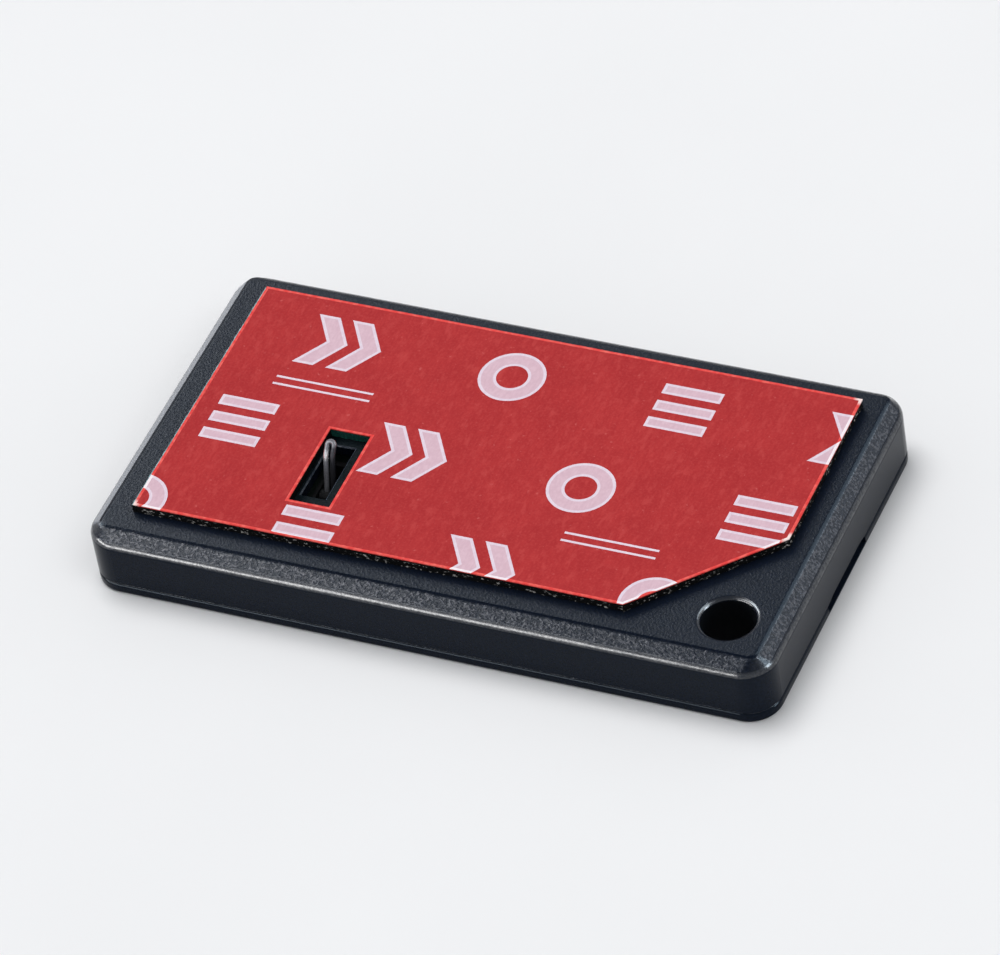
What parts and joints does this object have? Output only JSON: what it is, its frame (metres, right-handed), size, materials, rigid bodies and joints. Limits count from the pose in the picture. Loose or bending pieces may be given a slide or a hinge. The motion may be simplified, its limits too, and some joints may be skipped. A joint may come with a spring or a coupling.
{
  "type": "bluetooth beacon tag",
  "caption": "Flat bevelled beacon tag with a foam adhesive pad, a sprung wire tamper lever in a window, a corner lanyard hole and a pry-off battery cover.",
  "frame": {"origin": "centre of the front cover's outer face, which the tag lies on", "axes": "+X along the length towards the lanyard hole end, +Y across the tag away from the lanyard hole's long side, +Z out of the adhesive pad"},
  "size_m": [0.063, 0.035, 0.009],
  "materials": {
    "case_plastic": "fine moulded texture, blue-black",
    "foam_black": "closed-cell foam, rough cut edges",
    "film_red": "semi-gloss release film with pale print",
    "board_laminate": "solder resist",
    "copper_gold": "plated copper",
    "package_black": "moulded package",
    "can_steel": "nickel plated lid",
    "ceramic_tan": "ceramic body",
    "ferrite_grey": "ferrite body",
    "lamp_white": "lamp lens",
    "cell_steel": "stainless cell case",
    "gasket_grey": "moulded seal",
    "pellet_black": "pressed pellet",
    "anode_foil": "foil",
    "spring_nickel": "nickel plated strip",
    "switch_plastic": "moulded switch body",
    "contact_bronze": "phosphor bronze strip",
    "lever_steel": "bright spring wire",
    "seal_silicone": "silicone",
    "light_pipe_clear": "clear plastic"
  },
  "bodies": {
    "tag_body": {"rear_housing": "case_plastic", "adhesive_foam": "foam_black", "circuit_board": "board_laminate", "antenna_trace": "copper_gold", "test_pads": "copper_gold", "radio_chip": "package_black", "motion_sensor": "package_black", "main_crystal": "can_steel", "sleep_crystal": "can_steel", "bulk_capacitor": "ceramic_tan", "chip_capacitors": "ceramic_tan", "chip_resistors": "package_black", "chip_inductors": "ferrite_grey", "status_led": "lamp_white", "cell_can": "cell_steel", "cell_cap": "cell_steel", "cell_gasket": "gasket_grey", "cell_cathode": "pellet_black", "cell_anode": "anode_foil", "cell_clip": "spring_nickel", "cell_negative_contact": "spring_nickel", "switch_base": "switch_plastic", "switch_lid": "switch_plastic", "switch_moving_contact": "contact_bronze", "switch_fixed_contact": "contact_bronze"},
    "front_cover": {"front_cover": "case_plastic", "cover_snaps": "case_plastic", "perimeter_seal": "seal_silicone", "light_pipe": "light_pipe_clear"},
    "tamper_lever": {"tamper_lever": "lever_steel", "lever_hub": "switch_plastic"},
    "release_liner": {"release_liner": "film_red"}
  },
  "joints": [
    {"name": "tamper_lever_hinge", "type": "hinge", "parent": "tag_body", "child": "tamper_lever", "pos_m": [-0.0134, -0.00543, 0.00385], "axis": [1, 0, 0], "range_deg": [-27, 0], "stiffness_Nm_per_rad": 0.002, "springref_deg": 20.05, "deforming": ["switch_moving_contact"]},
    {"name": "front_cover_slide", "type": "slide", "parent": "tag_body", "child": "front_cover", "axis": [0, 0, -1], "range_m": [0, 0.012], "deforming": ["cover_snaps"]},
    {"name": "release_liner_slide", "type": "slide", "parent": "tag_body", "child": "release_liner", "axis": [0, 0, 1], "range_m": [0, 0.012]}
  ]
}
